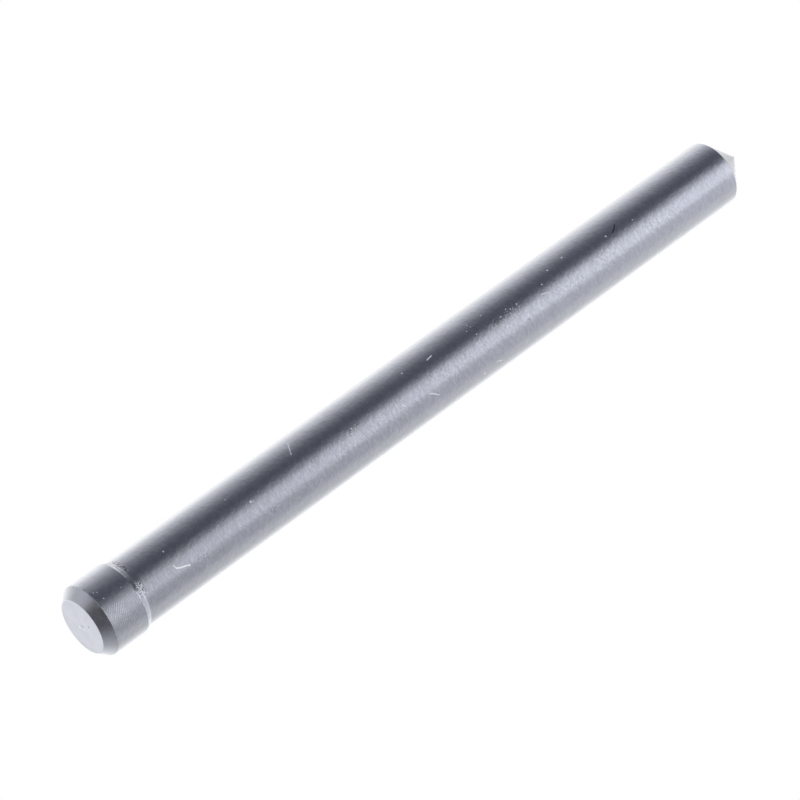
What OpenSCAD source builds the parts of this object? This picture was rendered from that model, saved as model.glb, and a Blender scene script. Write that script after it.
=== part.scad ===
// Pilot pin for an annular cutter: one piece of steel, turned at the head and ground on the shank.
// The flat head face lies on z = 0, the axis runs up +Z and the point is at the top.

/* [Shank] */
// Diameter of the ground shank
shank_d = 6.35; // [4:0.05:16]
// Length from the head face to the rim of the point
pin_len = 77; // [20:0.5:160]

/* [Head] */
// How far the collar stands proud of the shank, all round
collar_proud = 0.23; // [0.1:0.01:1.5]
// Length of the head, from its face to the end of the collar
head_len = 4.3; // [2:0.1:12]
// Length of the head chamfer, along the axis
chamfer_len = 0.95; // [0.3:0.05:3]
// Width of the head chamfer, across the axis
chamfer_w = 0.8; // [0.2:0.05:1.4]
// Length of the tapered shoulder that runs down to the shank
shoulder_len = 0.5; // [0.2:0.05:3]

/* [Point] */
// Included angle of the point
point_angle = 90; // [50:1:150]
// Radius that the grinding wheel leaves on the tip
tip_r = 0.15; // [0.05:0.01:0.6]

/* [Edges] */
// Radius that breaks each edge of the head chamfer
chamfer_edge_r = 0.1; // [0.02:0.01:0.3]
// Radius on the crest of the shoulder
crest_r = 0.25; // [0.05:0.05:0.6]
// Radius at the root of the shoulder
root_r = 0.6; // [0.1:0.05:1]
// Radius that breaks the rim of the point
rim_edge_r = 0.12; // [0.02:0.01:0.5]

/* [Centre mark] */
// Diameter of the lathe's centre mark in the head face
mark_d = 0.4; // [0.1:0.05:1]
// Depth of the centre mark
mark_depth = 0.08; // [0.02:0.01:0.3]

/* [Hidden] */
$fn = 96;

// Straight steps that stand for one rounded corner
ARC_STEPS = 4;

shank_r = shank_d / 2;
collar_r = shank_r + collar_proud;
face_r = collar_r - chamfer_w;
mark_r = mark_d / 2;
shank_start = head_len + shoulder_len;
half_point = point_angle / 2;
apex_z = pin_len + shank_r / tan(half_point);
// Where the tip's radius runs out into the cone, and its highest point
tip_edge_r = tip_r * cos(half_point);
tip_edge_z = apex_z - tip_edge_r / tan(half_point);
tip_centre_z = tip_edge_z - tip_r * sin(half_point);

function unit(v) = v / norm(v);

// The points of a corner at c rounded to radius r, on the way from one point to the next
function rounded(from, c, to, r) =
    let (
        a = unit(from - c),
        b = unit(to - c),
        half = acos(a * b) / 2,
        centre = c + unit(a + b) * r / sin(half),
        first = c + a * r / tan(half),
        last = c + b * r / tan(half)
    )
    [for (i = [0 : ARC_STEPS])
        let (chord = first + (last - first) * i / ARC_STEPS)
        centre + r * unit(chord - centre)];

// The rounded tip, from its run-out on the cone to the axis
function tip_arc() =
    [for (i = [0 : ARC_STEPS])
        let (a = half_point + (90 - half_point) * i / ARC_STEPS)
        [tip_r * cos(a), tip_centre_z + tip_r * sin(a)]];

// Half of the pin's section: [radius, height]
function pin_profile() =
    let (
        mark_rim = [mark_r, 0],
        face_rim = [face_r, 0],
        collar_start = [collar_r, chamfer_len],
        collar_end = [collar_r, head_len],
        root = [shank_r, shank_start],
        point_rim = [shank_r, pin_len],
        tip_edge = [tip_edge_r, tip_edge_z]
    )
    concat(
        [[0, mark_depth], mark_rim],
        rounded(mark_rim, face_rim, collar_start, chamfer_edge_r),
        rounded(face_rim, collar_start, collar_end, chamfer_edge_r),
        rounded(collar_start, collar_end, root, crest_r),
        rounded(collar_end, root, point_rim, root_r),
        rounded(root, point_rim, tip_edge, rim_edge_r),
        tip_arc()
    );

module pilot_pin() {
    color("#8e929c")
        rotate_extrude()
            polygon(pin_profile());
}

pilot_pin();
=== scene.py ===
"""Pilot pin: a turned head with a wide chamfer and a short collar, a ground shank and a conical point.

Everything is in metres. The pin stands on its flat head face, with its axis along +Z.
An angle round the pin is measured from -Y, and grows towards +X.
"""

import math

import bpy
from mathutils import Matrix, Vector, noise


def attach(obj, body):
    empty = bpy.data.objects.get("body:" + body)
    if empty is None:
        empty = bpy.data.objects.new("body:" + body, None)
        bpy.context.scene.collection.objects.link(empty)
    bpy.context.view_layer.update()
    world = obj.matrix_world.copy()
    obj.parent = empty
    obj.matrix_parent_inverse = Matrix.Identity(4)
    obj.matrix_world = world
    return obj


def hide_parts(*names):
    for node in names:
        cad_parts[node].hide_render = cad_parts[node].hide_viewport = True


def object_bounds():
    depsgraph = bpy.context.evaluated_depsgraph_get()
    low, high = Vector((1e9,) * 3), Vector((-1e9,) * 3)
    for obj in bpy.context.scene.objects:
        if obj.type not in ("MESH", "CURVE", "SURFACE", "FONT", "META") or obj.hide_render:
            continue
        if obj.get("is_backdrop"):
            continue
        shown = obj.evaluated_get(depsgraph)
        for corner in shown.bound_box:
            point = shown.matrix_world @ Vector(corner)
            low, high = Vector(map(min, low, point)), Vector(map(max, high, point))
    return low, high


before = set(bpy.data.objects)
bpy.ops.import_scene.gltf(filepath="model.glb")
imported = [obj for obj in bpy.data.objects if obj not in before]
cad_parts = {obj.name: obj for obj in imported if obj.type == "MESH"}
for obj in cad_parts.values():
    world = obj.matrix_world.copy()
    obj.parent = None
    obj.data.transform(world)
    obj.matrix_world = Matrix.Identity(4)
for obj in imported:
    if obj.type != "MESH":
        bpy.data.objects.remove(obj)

bl_info = {
    "name": "Pilot Pin",
    "version": (1, 0, 0),
    "blender": (4, 5, 0),
    "location": "View3D > Sidebar > Pilot Pin",
    "description": "Builds a turned and ground steel pilot pin on a plain studio floor",
    "category": "Add Mesh",
}

MM = 0.001
NODE = "pilot_pin"
CAD_LOW, CAD_HIGH = (corner.copy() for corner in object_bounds())


# Sizes and colours -------------------------------------------------------------------------


def length_prop(name, description, mm):
    """A length that is written in millimetres and kept in metres."""
    return bpy.props.FloatProperty(
        name=name, description=description, default=mm * MM, precision=5, unit="LENGTH"
    )


def angle_prop(name, description, degrees):
    """An angle that is written in degrees and kept in radians."""
    return bpy.props.FloatProperty(
        name=name, description=description, default=math.radians(degrees), unit="ROTATION"
    )


def share_prop(name, description, value):
    """A plain number, such as a roughness or a strength."""
    return bpy.props.FloatProperty(name=name, description=description, default=value)


def colour_prop(name, description, colour):
    """A linear colour."""
    return bpy.props.FloatVectorProperty(
        name=name, description=description, default=colour, size=3, subtype="COLOR"
    )


class PinSizes(bpy.types.PropertyGroup):
    """Sizes of the turned and ground forms."""

    shank_d: length_prop("Shank diameter", "Diameter of the ground shank", 6.35)
    pin_len: length_prop("Pin length", "From the head face to the rim of the point", 77)
    collar_proud: length_prop("Collar step", "How far the collar stands proud of the shank", 0.23)
    head_len: length_prop("Head length", "From the head face to the end of the collar", 4.3)
    chamfer_len: length_prop("Chamfer length", "Head chamfer, along the axis", 0.95)
    chamfer_w: length_prop("Chamfer width", "Head chamfer, across the axis", 0.8)
    shoulder_len: length_prop("Shoulder length", "Tapered shoulder, along the axis", 0.5)
    point_angle: angle_prop("Point angle", "Included angle of the point", 90)
    tip_r: length_prop("Tip radius", "Radius left on the tip by grinding", 0.15)
    chamfer_edge_r: length_prop("Chamfer edges", "Radius on both edges of the chamfer", 0.1)
    crest_r: length_prop("Shoulder crest", "Radius on the crest of the shoulder", 0.25)
    root_r: length_prop("Shoulder root", "Radius at the root of the shoulder", 0.6)
    rim_edge_r: length_prop("Point rim", "Radius that breaks the rim of the point", 0.12)
    nick_depth: length_prop("Nick depth", "Half the greatest depth of a nick in the collar's rim", 0.025)
    mark_d: length_prop("Centre mark", "Diameter of the lathe's centre mark", 0.4)
    mark_depth: length_prop("Centre mark depth", "Depth of the centre mark", 0.08)
    feed: length_prop("Turning feed", "Pitch of the turning lines on the collar", 0.2)
    line_depth: length_prop("Turning lines", "Depth of the turning lines on the collar", 0.003)


class PinFinish(bpy.types.PropertyGroup):
    """Colours and roughness of the steel."""

    ground: colour_prop("Ground steel", "Colour of the ground shank", (0.57, 0.585, 0.65))
    turned: colour_prop("Turned steel", "Colour of the turned head", (0.565, 0.58, 0.645))
    face: colour_prop("Face", "Colour of the flat head face", (0.615, 0.63, 0.675))
    scratch: colour_prop("Scratch", "Colour of a fresh scratch or burr", (0.94, 0.96, 1.0))
    burnished: colour_prop("Burnished", "Colour of a scratch that mirrors the light", (0.97, 0.98, 1.0))
    pit: colour_prop("Pit", "Colour of a dark pit", (0.05, 0.05, 0.06))
    ground_rough: share_prop("Ground roughness", "Roughness of the ground shank", 0.23)
    turned_rough: share_prop("Turned roughness", "Roughness of the turned head", 0.26)
    face_rough: share_prop("Face roughness", "Roughness of the flat head face", 0.38)


class StageLook(bpy.types.PropertyGroup):
    """The floor, the light and the camera."""

    floor_radius: length_prop("Floor radius", "Radius of the white floor", 260)
    floor_gap: length_prop("Floor gap", "How far the floor lies under the head face", 0.02)
    aim_x: length_prop("Aim across", "The camera's aim, across the pin", 0.143)
    aim_z: length_prop("Aim height", "The camera's aim, along the pin", 36.68)
    distance: length_prop("Distance", "From the camera to its aim", 333.3)
    elevation: angle_prop("Elevation", "The camera's height over the horizon", -28.33)
    lean: angle_prop("Lean", "How far the pin leans to the right in the picture", 54.21)
    lens: share_prop("Lens", "Focal length in millimetres on a 36 mm sensor", 171.9)


# Node trees --------------------------------------------------------------------------------


class Value:
    """One number that a node gives out. Arithmetic on it adds Math nodes."""

    def __init__(self, graph, socket):
        self.graph = graph
        self.socket = socket

    def __add__(self, other):
        return self.graph.math("ADD", self, other)

    def __sub__(self, other):
        return self.graph.math("SUBTRACT", self, other)

    def __rsub__(self, other):
        return self.graph.math("SUBTRACT", other, self)

    def __mul__(self, other):
        return self.graph.math("MULTIPLY", self, other)

    def __truediv__(self, other):
        return self.graph.math("DIVIDE", self, other)

    __radd__ = __add__
    __rmul__ = __mul__


class Graph:
    """Adds nodes to one material's or world's node tree."""

    def __init__(self, owner):
        owner.use_nodes = True
        self.tree = owner.node_tree
        self.tree.nodes.clear()

    def node(self, kind, settings=None, sockets=None):
        """A node of a type. Its settings are set first, and then its sockets are filled or linked."""
        made = self.tree.nodes.new("ShaderNode" + kind)
        for name, value in (settings or {}).items():
            if name == "stops":
                self.fill_ramp(made.color_ramp, value)
            else:
                setattr(made, name, value)
        for key, value in (sockets or {}).items():
            self.feed(made.inputs[key], value)
        return made

    def feed(self, socket, value):
        """Links a socket to a value or an output, or sets it to a constant."""
        if isinstance(value, Value):
            value = value.socket
        if isinstance(value, bpy.types.NodeSocket):
            self.tree.links.new(value, socket)
        else:
            socket.default_value = value

    @staticmethod
    def fill_ramp(ramp, stops):
        """Sets a ramp's stops from pairs of a place and a colour."""
        while len(ramp.elements) < len(stops):
            ramp.elements.new(1)
        for element, (place, colour) in zip(ramp.elements, stops):
            element.position = place
            element.color = rgba(colour)

    def value(self, node, output=0):
        """One of a node's outputs, as a Value."""
        return Value(self, node.outputs[output])

    def math(self, operation, *values):
        """A Math node on two or three values."""
        made = self.node("Math", {"operation": operation})
        for socket, value in zip(made.inputs, values):
            self.feed(socket, value)
        return self.value(made)

    def rise(self, value, start, end, low=0.0, high=1.0, kind="SMOOTHSTEP"):
        """Goes from low at start to high at end, and stays there."""
        sockets = {
            "Value": value,
            "From Min": start,
            "From Max": end,
            "To Min": low,
            "To Max": high,
        }
        return self.value(self.node("MapRange", {"interpolation_type": kind}, sockets))

    def vector(self, operation, *values):
        """A Vector Math node's vector."""
        made = self.node("VectorMath", {"operation": operation})
        for socket, value in zip(made.inputs, values):
            self.feed(socket, value)
        return made.outputs["Vector"]

    def blend(self, factor, first, second):
        """A colour that goes from the first to the second."""
        made = self.node("Mix", {"data_type": "RGBA"})
        for socket, value in ((0, factor), (6, first), (7, second)):
            self.feed(made.inputs[socket], value)
        return made.outputs[2]

    def speckle(self, place, scale, detail=2.0, roughness=0.5):
        """Noise from 0 to 1 at a place, with scale spots to the unit."""
        sockets = {"Vector": place, "Scale": scale, "Detail": detail, "Roughness": roughness}
        return self.value(self.node("TexNoise", None, sockets), "Fac")


def rgba(colour):
    """A colour as a colour socket takes it."""
    return (*colour, 1.0)


def worn(colour, share):
    """A steel's colour where it is darker, as a share of its light."""
    return rgba(level * share for level in colour)


# Steel -------------------------------------------------------------------------------------


class PinPlace:
    """Where a point of the pin lies: its place in millimetres, its height and its angle round the axis."""

    def __init__(self, graph):
        coordinates = graph.node("TexCoord").outputs["Object"]
        scaled = graph.vector("MULTIPLY", coordinates, (1 / MM,) * 3)
        split = graph.node("SeparateXYZ", None, {"Vector": scaled})
        self.x, self.y, self.height = (graph.value(split, name) for name in "XYZ")
        self.place = scaled
        self.radius = graph.math("SQRT", self.x * self.x + self.y * self.y)
        self.angle = graph.math("ARCTAN2", self.x, 0 - self.y)


# Scratches through to bare metal, on the shank: the points that each runs through, as height in
# millimetres and angle in degrees, with its half width in millimetres.
SCRATCHES = (
    ((24.3, -50.0), (24.05, -43.0), (23.55, -28.0), 0.07),
    ((34.9, 10.5), (35.1, 16.0), 0.06),
    ((37.8, 22.0), (38.3, 28.0), (38.7, 34.0), 0.055),
    ((32.2, 7.0), (32.5, 11.5), 0.06),
    ((45.7, 49.0), (46.2, 53.0), 0.06),
    ((52.7, -2.5), (53.2, -0.5), 0.08),
)
# Scratches that mirror the light, in the same way.
BURNISHED_SCRATCHES = (
    ((8.5, 5.5), (8.6, 11.0), 0.06),
    ((8.6, 11.0), (8.95, 14.2), (9.45, 16.6), (9.85, 19.4), 0.09),
)
# Scratches that lie dark, in the same way.
DARK_SCRATCHES = (
    ((63.35, -25.5), (63.05, -20.5), (62.6, -16.5), 0.075),
    ((29.0, 1.5), (29.1, 4.0), 0.04),
    ((50.3, 17.5), (50.35, 21.0), 0.04),
)
# Lint and light specks that lie on the shank, and one painted glint. A speck is a height in millimetres,
# an angle in degrees and a radius in millimetres.
LINT = (
    ((39.6, -24.2), (40.2, -25.9), 0.075),
)
SPECKS_AND_GLINT = (
    (8.6, -21.0, 0.085),
    (14.0, -4.0, 0.06),
    (16.1, -31.0, 0.07),
    (17.7, -5.0, 0.13),
    (17.95, -3.0, 0.07),
    (29.5, -5.5, 0.09),
    (36.9, -31.0, 0.09),
    # A painted glint: a white speck where the steel catches the light.
    (44.1, 55.0, 0.15),
    (44.5, -24.5, 0.06),
    (45.0, -33.0, 0.06),
    (45.0, -11.0, 0.08),
    (45.1, -27.0, 0.06),
    (46.7, -33.0, 0.06),
    (48.0, -11.5, 0.07),
    (48.9, -16.5, 0.075),
    (49.3, -12.5, 0.08),
    (49.4, -1.5, 0.08),
    (50.1, -13.5, 0.08),
    (53.4, -15.0, 0.085),
    (54.9, -29.0, 0.11),
    (56.95, -33.0, 0.12),
    (60.8, 63.0, 0.09),
    (61.8, -18.0, 0.115),
    (65.1, -14.5, 0.07),
)
# Specks on the collar, in the same way.
COLLAR_SPECKS = (
    (1.65, -15.0, 0.08),
    (3.45, -13.5, 0.06),
    (1.35, -31.0, 0.08),
    (1.6, -28.0, 0.07),
)
# Chatter marks to the millimetre on the collar, along the axis and round it.
CHATTER = (4.0, 3.3)
# Torn metal at the shoulder: from and to a height in millimetres, from and to an angle in degrees, and
# how strongly it shows.
TORN_PATCHES = (
    (4.55, 5.25, -6.0, 16.0, 0.85),
    (4.6, 5.2, -74.0, -29.0, 0.7),
)
# Patches of painted shade on the shoulder, which darken it and narrow its highlight, in the same way.
SHOULDER_PAINTED_SHADE = (
    (4.2, 5.0, -5.0, 4.0, 0.65),
    (4.55, 5.0, -80.0, -25.0, 0.5),
    (4.3, 5.0, -80.0, -48.0, 0.25),
)
# Painted shade on the shank next to the shoulder, where it lies darker, in the same way.
SHANK_PAINTED_SHADE = (
    (4.75, 5.3, -14.0, -3.0, 0.3),
)
# Patches where the shank is scuffed, in the same way.
SCUFF_PATCHES = (
    (10.6, 11.8, 14.0, 26.0, 0.25),
    (18.3, 20.3, 24.0, 31.0, 0.2),
    (28.9, 30.3, -7.0, 0.0, 0.5),
    (46.4, 50.3, -15.0, -3.0, 0.35),
    (44.4, 45.5, -33.0, -24.0, 0.25),
)
# Painted highlight and painted shade of small dents on the head face, which the shape lacks: X and Y in
# millimetres, radius in millimetres, and whether it is light.
FACE_DENT_LIGHT_AND_SHADE = (
    (-0.12, 0.47, 0.22, True),
    (0.05, -0.14, 0.2, False),
    (0.33, -1.08, 0.17, False),
    (0.35, 0.04, 0.12, True),
)
FACE_DENT_SHADING_STRENGTH = 0.5

# How far a patch's edges fade out, along the pin and round it.
PATCH_FADE_MM, PATCH_FADE_DEGREES = 0.15, 3
# The share of its size within which a spot, a stroke or a dent's painted light or shade is full.
SPOT_CORE, STROKE_CORE, FACE_DENT_SHADING_CORE = 0.55, 0.5, 0.3
# Torn metal: the fineness of its grain, and between which levels of the grain it is light and dark.
TORN_GRAIN = 7.5
TORN_LIGHT, TORN_DARK = (0.56, 0.65), (0.49, 0.39)
# How dark a pit or a dark scratch is.
PIT_STRENGTH = 0.8
# The darker steel that mottles each finish, as a share of its light.
WORN_SHANK, WORN_TURNED, WORN_FACE, WORN_SHOULDER = 0.93, 0.9, 0.92, 0.74
# The ground shank: the fineness of its lines, streaks, grain, swell and rubbed parts, per millimetre.
SHANK_LINES, SHANK_STREAKS = (1.2, 1.2, 6.0), (3.5, 3.5, 4.5)
SHANK_GRAIN, SHANK_SWELL, SHANK_RUB = 2.6, 0.5, 0.45
# Where the shank is rubbed, and how strongly that lightens and darkens its streaks.
RUBBED_PATCH = (24.0, 70.0, -5.0, 25.0)
RUBBED_LIGHT, RUBBED_DARK = 0.2, 0.12
# Where the collar has chatter marks, and how strongly they lighten and darken it.
CHATTER_PATCH = (1.0, 2.8, -1.0, 33.0)
CHATTER_LIGHT, CHATTER_DARK = 0.2, 0.13
COLLAR_SPECK_STRENGTH = 0.75
# The fineness of the rings on the face, in radians per millimetre, and on the point, per millimetre.
FACE_RINGS = 40.0
POINT_RINGS = (0.3, 0.3, 8.0)


def patch(graph, where, low, high, start, end):
    """A soft-edged mask over a stretch of height in millimetres and a span of degrees."""
    soft_mm, soft_turn = PATCH_FADE_MM, math.radians(PATCH_FADE_DEGREES)
    start, end = math.radians(start), math.radians(end)
    above = graph.rise(where.height, low - soft_mm, low + soft_mm)
    under = graph.rise(where.height, high + soft_mm, high - soft_mm)
    after = graph.rise(where.angle, start - soft_turn, start + soft_turn)
    before = graph.rise(where.angle, end + soft_turn, end - soft_turn)
    return above * under * after * before


def union(graph, masks):
    """Covers what any of some masks covers."""
    total = masks[0]
    for mask in masks[1:]:
        total = graph.math("MAXIMUM", total, mask)
    return total


def covered(graph, where, patches):
    """How strongly some patches show at a place."""
    return union(graph, [patch(graph, where, *span) * share for *span, share in patches])


def torn(graph, where, patches):
    """How much torn metal stands out light, and how much lies dark, in some patches."""
    cover = covered(graph, where, patches)
    grain = graph.speckle(where.place, TORN_GRAIN, 1.0, 0.4)
    return cover * graph.rise(grain, *TORN_LIGHT), cover * graph.rise(grain, *TORN_DARK)


def spot(graph, where, arc_radius, height, degrees, radius):
    """A round mask on the pin's wall."""
    across = (where.angle - math.radians(degrees)) * (arc_radius / MM)
    along = where.height - height
    away = graph.math("SQRT", across * across + along * along)
    return graph.rise(away, radius, radius * SPOT_CORE)


def stroke(graph, where, arc_radius, start, end, half_width):
    """A mask along a straight stroke on the pin's wall."""
    arc = arc_radius / MM
    start = Vector((start[0], math.radians(start[1]) * arc))
    run = Vector((end[0], math.radians(end[1]) * arc)) - start
    along = where.height - start.x
    across = where.angle * arc - start.y
    share = (along * run.x + across * run.y) / run.length_squared
    share = graph.math("MINIMUM", graph.math("MAXIMUM", share, 0.0), 1.0)
    off_along = along - share * run.x
    off_across = across - share * run.y
    away = graph.math("SQRT", off_along * off_along + off_across * off_across)
    return graph.rise(away, half_width, half_width * STROKE_CORE)


def all_marks(graph, where, arc_radius, scratches, specks):
    """The union of some scratches and specks."""
    masks = []
    for *points, half_width in scratches:
        for start, end in zip(points, points[1:]):
            masks.append(stroke(graph, where, arc_radius, start, end, half_width))
    for height, degrees, radius in specks:
        masks.append(spot(graph, where, arc_radius, height, degrees, radius))
    return union(graph, masks)


def steel(name, colour, roughness):
    """A new steel material, its graph and its shader, with the constants set on the shader."""
    material = bpy.data.materials.new(name)
    graph = Graph(material)
    shader = graph.node("BsdfPrincipled", None, {"Metallic": 1.0, "Roughness": roughness})
    shader.inputs["Base Color"].default_value = rgba(colour)
    graph.node("OutputMaterial", None, {"Surface": shader.outputs["BSDF"]})
    material.diffuse_color = rgba(colour)
    return material, graph, shader


def bump(graph, height, distance_mm, strength=1.0, normal=None):
    """A Bump node's normal. The height is a share of the distance."""
    sockets = {"Height": height, "Distance": distance_mm * MM, "Strength": strength}
    if normal:
        sockets["Normal"] = normal
    return graph.node("Bump", None, sockets).outputs["Normal"]


def ground_shank(sizes, finish):
    """Ground steel: a fine grain, faint mottling, the marks of use, painted shade next to the shoulder and
    one painted glint.
    """
    material, graph, shader = steel("ground_shank", finish.ground, finish.ground_rough)
    where = PinPlace(graph)
    radius = sizes.shank_d / 2
    lines = graph.speckle(graph.vector("MULTIPLY", where.place, SHANK_LINES), 1.0, 2.0)
    grain = graph.speckle(where.place, SHANK_GRAIN, 3.0, 0.6)
    swell = graph.speckle(where.place, SHANK_SWELL, 2.0)
    bare = all_marks(graph, where, radius, SCRATCHES, ())
    # Lint and specks, with one painted glint among the specks.
    dust = all_marks(graph, where, radius, LINT, SPECKS_AND_GLINT)
    light, pitted = torn(graph, where, (*TORN_PATCHES, *SCUFF_PATCHES))
    streaks = graph.speckle(graph.vector("MULTIPLY", where.place, SHANK_STREAKS), 1.0, 2.0)
    rubbed = graph.rise(graph.speckle(where.place, SHANK_RUB, 2.0), 0.4, 0.62)
    rubbed = rubbed * patch(graph, where, *RUBBED_PATCH)
    dark = graph.math("MAXIMUM", all_marks(graph, where, radius, DARK_SCRATCHES, ()), pitted)
    bright = graph.math("MAXIMUM", graph.math("MAXIMUM", bare, dust), light)
    mottle = graph.rise(grain, 0.35, 0.7)
    base = graph.blend(mottle, worn(finish.ground, WORN_SHANK), rgba(finish.ground))
    light_streaks = rubbed * graph.rise(streaks, 0.5, 0.66) * RUBBED_LIGHT
    dark_streaks = rubbed * graph.rise(streaks, 0.46, 0.34) * RUBBED_DARK
    base = graph.blend(light_streaks, base, rgba(finish.scratch))
    base = graph.blend(dark_streaks, base, rgba(finish.pit))
    # Painted shade: the shank darkened next to the shoulder.
    base = graph.blend(covered(graph, where, SHANK_PAINTED_SHADE), base, rgba(finish.pit))
    base = graph.blend(dark * PIT_STRENGTH, base, rgba(finish.pit))
    base = graph.blend(bright, base, rgba(finish.scratch))
    burnished = all_marks(graph, where, radius, BURNISHED_SCRATCHES, ())
    base = graph.blend(burnished, base, rgba(finish.burnished))
    graph.feed(shader.inputs["Base Color"], base)
    graph.feed(shader.inputs["Roughness"], finish.ground_rough + (grain - 0.5) * 0.1 + bright * 0.25)
    graph.feed(shader.inputs["Metallic"], 1 - graph.math("MAXIMUM", dust, bright * 0.4))
    fine = bump(graph, lines * 0.15 + grain * 0.6, 0.029)
    swelling = bump(graph, swell, 0.03, normal=fine)
    graph.feed(shader.inputs["Normal"], bump(graph, bright, 0.015, 0.5, swelling))
    return material


def turned_collar(sizes, finish):
    """Turned steel on the collar, with its specks and the chatter of the tool."""
    material, graph, shader = steel("turned_collar", finish.turned, finish.turned_rough)
    where = PinPlace(graph)
    mottle = graph.speckle(where.place, 2.5, 4.0, 0.6)
    radius = sizes.shank_d / 2 + sizes.collar_proud
    dust = all_marks(graph, where, radius, (), COLLAR_SPECKS) * COLLAR_SPECK_STRENGTH
    along, across = (2 * math.pi * count for count in CHATTER)
    phase = where.height * along + where.angle * (across * radius / MM)
    lines = graph.math("SINE", phase) * 0.5 + 0.5
    chattered = patch(graph, where, *CHATTER_PATCH) * graph.rise(mottle, 0.35, 0.5)
    even = graph.rise(mottle, 0.35, 0.65)
    base = graph.blend(even, worn(finish.turned, WORN_TURNED), rgba(finish.turned))
    base = graph.blend(chattered * lines * CHATTER_LIGHT, base, rgba(finish.scratch))
    base = graph.blend(chattered * (1 - lines) * CHATTER_DARK, base, rgba(finish.pit))
    base = graph.blend(dust, base, rgba(finish.scratch))
    graph.feed(shader.inputs["Base Color"], base)
    graph.feed(shader.inputs["Metallic"], 1 - dust)
    graph.feed(shader.inputs["Roughness"], finish.turned_rough + (mottle - 0.5) * 0.12)
    graph.feed(shader.inputs["Normal"], bump(graph, mottle * 0.5 + chattered * lines * 0.5, 0.01))
    return material


def turned_chamfer(sizes, finish):
    """Turned steel on the head chamfer."""
    material, graph, shader = steel("turned_chamfer", finish.turned, finish.turned_rough)
    where = PinPlace(graph)
    mottle = graph.speckle(where.place, 1.6, 3.0, 0.6)
    base = graph.blend(mottle, worn(finish.turned, WORN_TURNED), rgba(finish.turned))
    graph.feed(shader.inputs["Base Color"], base)
    graph.feed(shader.inputs["Roughness"], finish.turned_rough + (mottle - 0.5) * 0.15)
    graph.feed(shader.inputs["Normal"], bump(graph, mottle, 0.006))
    return material


def faced_end(sizes, finish):
    """The flat head face, with faint facing rings, and the painted highlight and shade of small dents at
    its centre.
    """
    material, graph, shader = steel("faced_end", finish.face, finish.face_rough)
    where = PinPlace(graph)
    rings = graph.math("SINE", where.radius * FACE_RINGS)
    mottle = graph.speckle(where.place, 0.7, 3.0)
    even = graph.rise(mottle, 0.35, 0.65)
    base = graph.blend(even, worn(finish.face, WORN_FACE), rgba(finish.face))
    # Painted highlight and painted shade: light and dark spots where small dents would catch light and
    # shade.
    for x, y, radius, light in FACE_DENT_LIGHT_AND_SHADE:
        off_x, off_y = where.x - x, where.y - y
        away = graph.math("SQRT", off_x * off_x + off_y * off_y)
        mark = graph.rise(away, radius, radius * FACE_DENT_SHADING_CORE) * FACE_DENT_SHADING_STRENGTH
        base = graph.blend(mark, base, rgba(finish.scratch if light else finish.pit))
    graph.feed(shader.inputs["Base Color"], base)
    graph.feed(shader.inputs["Roughness"], finish.face_rough + (mottle - 0.5) * 0.1)
    graph.feed(shader.inputs["Normal"], bump(graph, rings * 0.3 + mottle, 0.003))
    return material


def torn_shoulder(sizes, finish):
    """The tapered shoulder, torn in places by the tool, with patches of painted shade."""
    material, graph, shader = steel("torn_shoulder", finish.turned, finish.turned_rough)
    where = PinPlace(graph)
    grit = graph.speckle(where.place, 3.0, 3.0, 0.7)
    light, pitted = torn(graph, where, TORN_PATCHES)
    painted_shade = covered(graph, where, SHOULDER_PAINTED_SHADE)
    even = graph.rise(grit, 0.35, 0.65)
    base = graph.blend(even, worn(finish.turned, WORN_SHOULDER), rgba(finish.turned))
    # Painted shade: the shoulder darkened in patches.
    base = graph.blend(painted_shade, base, rgba(finish.pit))
    base = graph.blend(pitted * PIT_STRENGTH, base, rgba(finish.pit))
    base = graph.blend(light, base, rgba(finish.scratch))
    graph.feed(shader.inputs["Base Color"], base)
    graph.feed(shader.inputs["Metallic"], 1 - light * 0.5)
    graph.feed(shader.inputs["Roughness"], finish.turned_rough + (grit - 0.5) * 0.2)
    graph.feed(shader.inputs["Normal"], bump(graph, grit, 0.012))
    return material


def ground_point(sizes, finish):
    """The ground cone of the point."""
    material, graph, shader = steel("ground_point", finish.face, finish.face_rough)
    where = PinPlace(graph)
    rings = graph.speckle(graph.vector("MULTIPLY", where.place, POINT_RINGS), 1.0, 3.0)
    graph.feed(shader.inputs["Roughness"], finish.face_rough + (rings - 0.5) * 0.12)
    graph.feed(shader.inputs["Normal"], bump(graph, rings, 0.005))
    return material


# Lathe work --------------------------------------------------------------------------------

# Faces round the pin.
SEGMENTS = 240
# Points along each rounded corner, the shoulder's root and the tip, and along each turning line.
CORNER_STEPS, ROOT_STEPS, TIP_STEPS, LINE_STEPS = 6, 8, 8, 5
# Points along the face, the chamfer, the shoulder, the shank near the head, its rest and the cone.
FACE_STEPS, CHAMFER_STEPS, SHOULDER_STEPS, NEAR_STEPS, SHANK_STEPS, CONE_STEPS = 10, 10, 6, 20, 90, 14
# How far the closely spaced rings reach up the shank from its root.
NEAR_LENGTH = 1.4 * MM
# How many nicks there may be round the collar's rim.
NICKS_ROUND = 7.0


def rounded(before, corner, after, radius, steps):
    """The points of a corner rounded to a radius, on the way from one point to the next."""
    to_before = (before - corner).normalized()
    to_after = (after - corner).normalized()
    half = to_before.angle(to_after) / 2
    centre = corner + (to_before + to_after).normalized() * radius / math.sin(half)
    first = corner + to_before * radius / math.tan(half)
    last = corner + to_after * radius / math.tan(half)
    chords = (first.lerp(last, i / steps) for i in range(steps + 1))
    return [centre + (chord - centre).normalized() * radius for chord in chords]


def straight(start, end, steps):
    """The points between two ends, without the ends."""
    return [start.lerp(end, i / steps) for i in range(1, steps)]


def turning_lines(sizes, start, end):
    """The collar's wall, with shallow rounded grooves a feed apart."""
    count = round((end.y - start.y) / sizes.feed) * LINE_STEPS
    points = []
    for i in range(1, count):
        dip = (1 - math.cos(2 * math.pi * i / LINE_STEPS)) / 2
        height = start.y + (end.y - start.y) * i / count
        points.append(Vector((start.x - sizes.line_depth * dip, height)))
    return points


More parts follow.
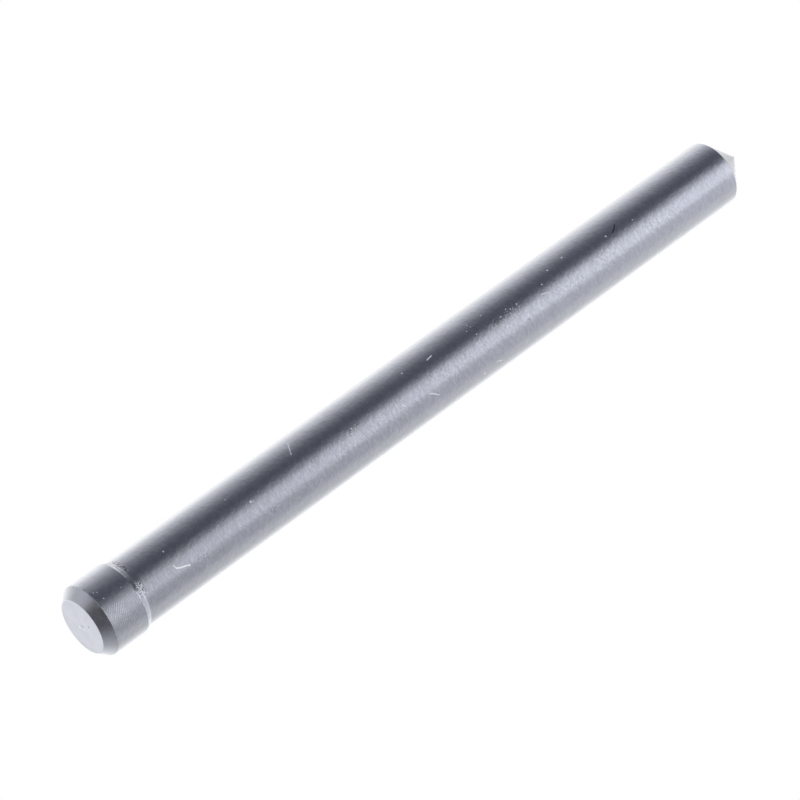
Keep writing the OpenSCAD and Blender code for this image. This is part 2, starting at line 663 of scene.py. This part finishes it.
def pin_section(sizes):
    """Half of the pin's section, as (finish, points) from the centre of the face to the tip.

    A point is a radius and a height.
    """
    shank_r = sizes.shank_d / 2
    collar_r = shank_r + sizes.collar_proud
    mark_r = sizes.mark_d / 2
    half_point = sizes.point_angle / 2
    centre = Vector((0, sizes.mark_depth))
    mark_rim = Vector((mark_r, 0))
    face_rim = Vector((collar_r - sizes.chamfer_w, 0))
    collar_start = Vector((collar_r, sizes.chamfer_len))
    collar_end = Vector((collar_r, sizes.head_len))
    root = Vector((shank_r, sizes.head_len + sizes.shoulder_len))
    point_rim = Vector((shank_r, sizes.pin_len))
    apex_z = sizes.pin_len + shank_r / math.tan(half_point)
    tip_edge_r = sizes.tip_r * math.cos(half_point)
    tip_edge = Vector((tip_edge_r, apex_z - tip_edge_r / math.tan(half_point)))
    tip_centre_z = tip_edge.y - sizes.tip_r * math.sin(half_point)

    face_corner = rounded(mark_rim, face_rim, collar_start, sizes.chamfer_edge_r, CORNER_STEPS)
    collar_corner = rounded(face_rim, collar_start, collar_end, sizes.chamfer_edge_r, CORNER_STEPS)
    crest = rounded(collar_start, collar_end, root, sizes.crest_r, CORNER_STEPS)
    hollow = rounded(collar_end, root, point_rim, sizes.root_r, ROOT_STEPS)
    rim = rounded(root, point_rim, tip_edge, sizes.rim_edge_r, CORNER_STEPS)
    tip = []
    for i in range(1, TIP_STEPS):
        turn = half_point + (math.pi / 2 - half_point) * i / TIP_STEPS
        height = tip_centre_z + sizes.tip_r * math.sin(turn)
        tip.append(Vector((sizes.tip_r * math.cos(turn), height)))
    tip.append(Vector((0, apex_z - sizes.tip_r * (1 / math.sin(half_point) - 1))))
    near = hollow[-1] + Vector((0, NEAR_LENGTH))
    mark = [centre, centre.lerp(mark_rim, 0.5), mark_rim]
    face = straight(mark_rim, face_corner[0], FACE_STEPS)
    chamfer = straight(face_corner[-1], collar_corner[0], CHAMFER_STEPS)
    wall = turning_lines(sizes, collar_corner[-1], crest[0])
    taper = straight(crest[-1], hollow[0], SHOULDER_STEPS)
    shank_low = straight(hollow[-1], near, NEAR_STEPS)
    shank_high = straight(near, rim[0], SHANK_STEPS)
    cone = straight(rim[-1], tip_edge, CONE_STEPS)
    return (
        ("faced_end", [*mark, *face]),
        ("turned_chamfer", [*face_corner, *chamfer]),
        ("turned_collar", [*collar_corner, *wall]),
        ("torn_shoulder", [*crest, *taper]),
        ("ground_shank", [*hollow, *shank_low, near, *shank_high]),
        ("ground_point", [*rim, *cone, tip_edge, *tip]),
    )


def nicked(point, sizes):
    """A point of the pin, moved inwards where the collar's rim is nicked."""
    nearness = 1 - abs(point.z - sizes.chamfer_len) / (2 * sizes.chamfer_edge_r)
    if nearness <= 0:
        return point
    outwards = Vector((point.x, point.y, 0)).normalized()
    bite = max(0, noise.noise(outwards * NICKS_ROUND)) * 2 * sizes.nick_depth * nearness
    return point - outwards * bite


def lathe(name, section, materials, sizes):
    """Turns a section round the Z axis into one closed mesh. The first and last points lie on the axis."""
    points = [point for _, run in section for point in run]
    finish_of_ring = [finish for finish, run in section for _ in run]
    slots = {finish: i for i, finish in enumerate(materials)}
    vertices = [(0, 0, points[0].y)]
    for point in points[1:-1]:
        for k in range(SEGMENTS):
            turn = 2 * math.pi * k / SEGMENTS
            placed = Vector((point.x * math.sin(turn), -point.x * math.cos(turn), point.y))
            vertices.append(nicked(placed, sizes))
    vertices.append((0, 0, points[-1].y))
    faces, slot_of_face = [], []
    last_ring = len(points) - 3
    for k in range(SEGMENTS):
        after = (k + 1) % SEGMENTS
        faces.append((0, 1 + after, 1 + k))
        slot_of_face.append(slots[finish_of_ring[0]])
        top = 1 + last_ring * SEGMENTS
        faces.append((len(vertices) - 1, top + k, top + after))
        slot_of_face.append(slots[finish_of_ring[-1]])
        for ring in range(last_ring):
            low, high = 1 + ring * SEGMENTS, 1 + (ring + 1) * SEGMENTS
            faces.append((low + k, low + after, high + after, high + k))
            slot_of_face.append(slots[finish_of_ring[ring + 1]])
    mesh = bpy.data.meshes.new(name)
    mesh.from_pydata(vertices, [], faces)
    for material in materials.values():
        mesh.materials.append(material)
    mesh.polygons.foreach_set("material_index", slot_of_face)
    mesh.polygons.foreach_set("use_smooth", [True] * len(faces))
    mesh.update()
    piece = bpy.data.objects.new(name, mesh)
    bpy.context.scene.collection.objects.link(piece)
    return piece


class PILOTPIN_OT_pin(bpy.types.Operator):
    """Turn the pin as one closed mesh, with its finishes"""

    bl_idname = "pilot_pin.pin"
    bl_label = "Pin"

    def execute(self, context):
        sizes, finish = context.scene.pin_sizes, context.scene.pin_finish
        makers = (faced_end, turned_chamfer, turned_collar, torn_shoulder, ground_shank, ground_point)
        materials = {maker.__name__: maker(sizes, finish) for maker in makers}
        piece = lathe("pin_body", pin_section(sizes), materials, sizes)
        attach(piece, "root")
        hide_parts(NODE)
        return {"FINISHED"}


# Stage -------------------------------------------------------------------------------------


COOL, PLAIN, WARM = (0.965, 1.0, 1.2), (0.99, 1.0, 1.04), (1.0, 1.0, 0.98)
# The walls: an angle round the pin in degrees, and the level and tint of the light that comes from there.
WALLS = (
    (-180, 1.1, WARM),
    (-160, 1.38, WARM),
    (-140, 1.4, WARM),
    (-120, 1.04, WARM),
    (-102, 0.69, PLAIN),
    (-82, 0.37, PLAIN),
    (-62, 0.18, COOL),
    (-48, 0.12, COOL),
    (-32, 0.098, COOL),
    (-20, 0.16, COOL),
    (-6, 0.52, PLAIN),
    (6, 0.92, PLAIN),
    (22, 0.99, PLAIN),
    (35, 1.04, PLAIN),
    (49, 0.68, PLAIN),
    (66, 0.66, PLAIN),
    (84, 0.66, PLAIN),
    (100, 0.75, WARM),
    (116, 0.76, WARM),
    (135, 0.93, WARM),
    (160, 1.28, WARM),
    (180, 1.1, WARM),
)
# The same, low down behind the camera, where the head chamfer and the head face look.
LOW_WALLS = (
    (-180, 1.04, PLAIN),
    (-163, 1.45, WARM),
    (-146, 1.17, WARM),
    (-120, 0.7, WARM),
    (-90, 0.74, PLAIN),
    (-68, 0.58, PLAIN),
    (-48, 0.26, WARM),
    (-27, 0.105, WARM),
    (0, 0.082, WARM),
    (27, 0.085, PLAIN),
    (51, 0.12, PLAIN),
    (72, 0.25, PLAIN),
    (90, 0.4, PLAIN),
    (120, 0.68, WARM),
    (146, 1.04, WARM),
    (163, 1.12, WARM),
    (180, 1.04, PLAIN),
)
# What part of the walls' light turns to at the horizon and below it, where the light is more even.
HORIZON = (0.9, 0.91, 0.95)
# The light from straight below.
UNDERNEATH = (0.42, 0.425, 0.44)
# How much of the walls' light there is at a height over the horizon in degrees.
LIGHT_AT_HEIGHT = (
    (-90, 0.95),
    (0, 0.9),
    (22, 0.92),
    (35, 1.13),
    (41, 1.32),
    (48, 1.37),
    (54, 1.12),
    (68, 0.72),
    (90, 0.6),
)
# Below, a height is the sine of the angle over the horizon, and a share of the way round the pin goes
# from 0 at -180 degrees to 1 at 180. A pair is where something starts and where it is full.
HORIZON_HEIGHTS, HORIZON_PART = (0.14, 0.0), 0.32
LOW_WALL_HEIGHTS, LOW_WALL_TILT = (-0.28, -0.42), 0.4
UNDERNEATH_HEIGHTS = (-0.87, -0.98)
# The key light: its two sides, where it starts, and how its strength changes between two heights.
KEY_SIDES, KEY_HEIGHTS = ((0.43, 0.49), (0.76, 0.7)), (0.05, 0.22)
KEY_CHANGE = (0.38, 0.57, -0.31, 0.05)
HIGH_KEY_SIDES, HIGH_KEY_CHANGE = ((0.5, 0.58), (0.84, 0.74)), (0.7, 0.92, 0.0, 0.55)
# The light from behind: on the left and on the right, where it is and how it changes with height.
BEHIND_LEFT, LEFT_CHANGE = (0.2, 0.14), (0.39, 0.5, 0.08, -0.14)
BEHIND_RIGHT, RIGHT_CHANGE = (0.82, 0.88), (0.39, 0.5, 0.1, -0.02)
# The floor: its corners, its paint and its glow, and where it fades out, as shares of its radius.
FLOOR_CORNERS, FLOOR_PAINT, FLOOR_GLOW, FLOOR_FADE = 64, 0.8, 0.35, (0.2, 0.7)
# The camera: the width of its sensor in millimetres, and how near and far it sees in metres.
SENSOR_WIDTH, CLIP_NEAR, CLIP_FAR = 36, 0.01, 10


def ring_of_light(graph, share, walls):
    """The light from all round the pin. The share goes from 0 at -180 degrees to 1 at 180."""
    stops = []
    for degrees, level, tint in walls:
        stops.append(((degrees + 180) / 360, tuple(level * part for part in tint)))
    return graph.node("ValToRGB", {"stops": stops}, {"Fac": share}).outputs["Color"]


def studio_light():
    """A studio all round the pin: white walls, a soft key light, and a dark gap beside it."""
    world = bpy.data.worlds.new("studio")
    bpy.context.scene.world = world
    graph = Graph(world)
    direction = graph.node("TexCoord").outputs["Generated"]
    split = graph.node("SeparateXYZ", None, {"Vector": direction})
    x, y, z = (graph.value(split, name) for name in "XYZ")
    share = graph.math("ARCTAN2", x, 0 - y) / (2 * math.pi) + 0.5
    walls, low_walls = (ring_of_light(graph, share, stops) for stops in (WALLS, LOW_WALLS))
    even = graph.rise(z, *HORIZON_HEIGHTS, 0.0, HORIZON_PART)
    walls = graph.blend(even, walls, rgba(HORIZON))
    low = graph.rise(z - y * LOW_WALL_TILT, *LOW_WALL_HEIGHTS)
    seen = graph.blend(low, walls, low_walls)
    seen = graph.blend(graph.rise(z, *UNDERNEATH_HEIGHTS), seen, rgba(UNDERNEATH))
    stops = []
    for degrees, level in LIGHT_AT_HEIGHT:
        stops.append(((math.sin(math.radians(degrees)) + 1) / 2, (level,) * 3))
    strength = graph.value(graph.node("ValToRGB", {"stops": stops}, {"Fac": z * 0.5 + 0.5}))
    # The key light grows from the head towards the point, and reaches further round high up.
    key, high_key = (
        graph.rise(share, *one) * graph.rise(share, *other) for one, other in (KEY_SIDES, HIGH_KEY_SIDES)
    )
    key = key * graph.rise(z, *KEY_HEIGHTS)
    strength = strength * (1 + key * graph.rise(z, *KEY_CHANGE, "LINEAR"))
    strength = strength * (1 + high_key * graph.rise(z, *HIGH_KEY_CHANGE))
    # The light from behind weakens with height, more so on the left.
    left = graph.rise(share, *BEHIND_LEFT) * graph.rise(z, *LEFT_CHANGE, "LINEAR")
    right = graph.rise(share, *BEHIND_RIGHT) * graph.rise(z, *RIGHT_CHANGE, "LINEAR")
    strength = strength * (1 + left + right)
    light = graph.node("Background", None, {"Color": seen, "Strength": strength})
    white = graph.node("Background", None, {"Color": (1, 1, 1, 1), "Strength": 1.0})
    to_camera = graph.node("LightPath").outputs["Is Camera Ray"]
    both = graph.node("MixShader", None, {0: to_camera, 1: light.outputs[0], 2: white.outputs[0]})
    graph.node("OutputWorld", None, {"Surface": both.outputs[0]})


def white_floor(look):
    """A round white floor that is seen from above only, and fades out at its edge."""
    mesh = bpy.data.meshes.new("floor")
    radius = look.floor_radius
    turns = [2 * math.pi * i / FLOOR_CORNERS for i in range(FLOOR_CORNERS)]
    ring = [(radius * math.cos(turn), radius * math.sin(turn), -look.floor_gap) for turn in turns]
    mesh.from_pydata(ring, [], [tuple(range(FLOOR_CORNERS))])
    floor = bpy.data.objects.new("floor", mesh)
    bpy.context.scene.collection.objects.link(floor)
    material = bpy.data.materials.new("white_floor")
    graph = Graph(material)
    place = graph.node("TexCoord").outputs["Object"]
    split = graph.node("SeparateXYZ", None, {"Vector": place})
    x, y = (graph.value(split, name) for name in "XY")
    away = graph.math("SQRT", x * x + y * y)
    fade = graph.rise(away, *(radius * share for share in FLOOR_FADE))
    paint = graph.node("BsdfDiffuse")
    paint.inputs["Color"].default_value = rgba((FLOOR_PAINT,) * 3)
    glow = graph.node("Emission", None, {"Strength": FLOOR_GLOW})
    lit = graph.node("AddShader", None, {0: paint.outputs[0], 1: glow.outputs[0]})
    clear = graph.node("BsdfTransparent").outputs[0]
    under = graph.value(graph.node("NewGeometry"), "Backfacing")
    hidden = graph.math("MAXIMUM", under, fade)
    both = graph.node("MixShader", None, {0: hidden, 1: lit.outputs[0], 2: clear})
    graph.node("OutputMaterial", None, {"Surface": both.outputs[0]})
    mesh.materials.append(material)
    floor.visible_diffuse = False
    floor.visible_glossy = False
    floor.visible_transmission = False
    floor.visible_shadow = False
    floor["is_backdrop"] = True


def camera(look):
    """The camera looks up at the head face from below the floor, and the pin leans in the picture."""
    data = bpy.data.cameras.new("camera")
    data.lens = look.lens
    data.sensor_width = SENSOR_WIDTH
    data.clip_start, data.clip_end = CLIP_NEAR, CLIP_FAR
    made = bpy.data.objects.new("camera", data)
    bpy.context.scene.collection.objects.link(made)
    back = Vector((0, -math.cos(look.elevation), math.sin(look.elevation)))
    upright = back.to_track_quat("Z", "Y").to_matrix()
    turned = upright @ Matrix.Rotation(look.lean, 3, "Z")
    place = Vector((look.aim_x, 0, look.aim_z)) + back * look.distance
    made.matrix_world = Matrix.Translation(place) @ turned.to_4x4()
    bpy.context.scene.camera = made


class PILOTPIN_OT_stage(bpy.types.Operator):
    """Set up the floor, the studio light and the camera"""

    bl_idname = "pilot_pin.stage"
    bl_label = "Stage"

    def execute(self, context):
        look = context.scene.stage_look
        context.scene.view_settings.view_transform = "Standard"
        studio_light()
        white_floor(look)
        camera(look)
        return {"FINISHED"}


class PILOTPIN_PT_panel(bpy.types.Panel):
    """Lists the pin's operators"""

    bl_label = "Pilot Pin"
    bl_space_type = "VIEW_3D"
    bl_region_type = "UI"
    bl_category = "Pilot Pin"

    def draw(self, context):
        for operator in (PILOTPIN_OT_pin, PILOTPIN_OT_stage):
            self.layout.operator(operator.bl_idname)


GROUPS = {"pin_sizes": PinSizes, "pin_finish": PinFinish, "stage_look": StageLook}
CLASSES = (*GROUPS.values(), PILOTPIN_OT_pin, PILOTPIN_OT_stage, PILOTPIN_PT_panel)


def register():
    for cls in CLASSES:
        bpy.utils.register_class(cls)
    for name, group in GROUPS.items():
        setattr(bpy.types.Scene, name, bpy.props.PointerProperty(type=group))


def unregister():
    for name in GROUPS:
        delattr(bpy.types.Scene, name)
    for cls in reversed(CLASSES):
        bpy.utils.unregister_class(cls)


def main():
    """Builds the pin and its stage."""
    register()
    bpy.ops.pilot_pin.pin()
    bpy.ops.pilot_pin.stage()


if __name__ == "__main__":
    main()
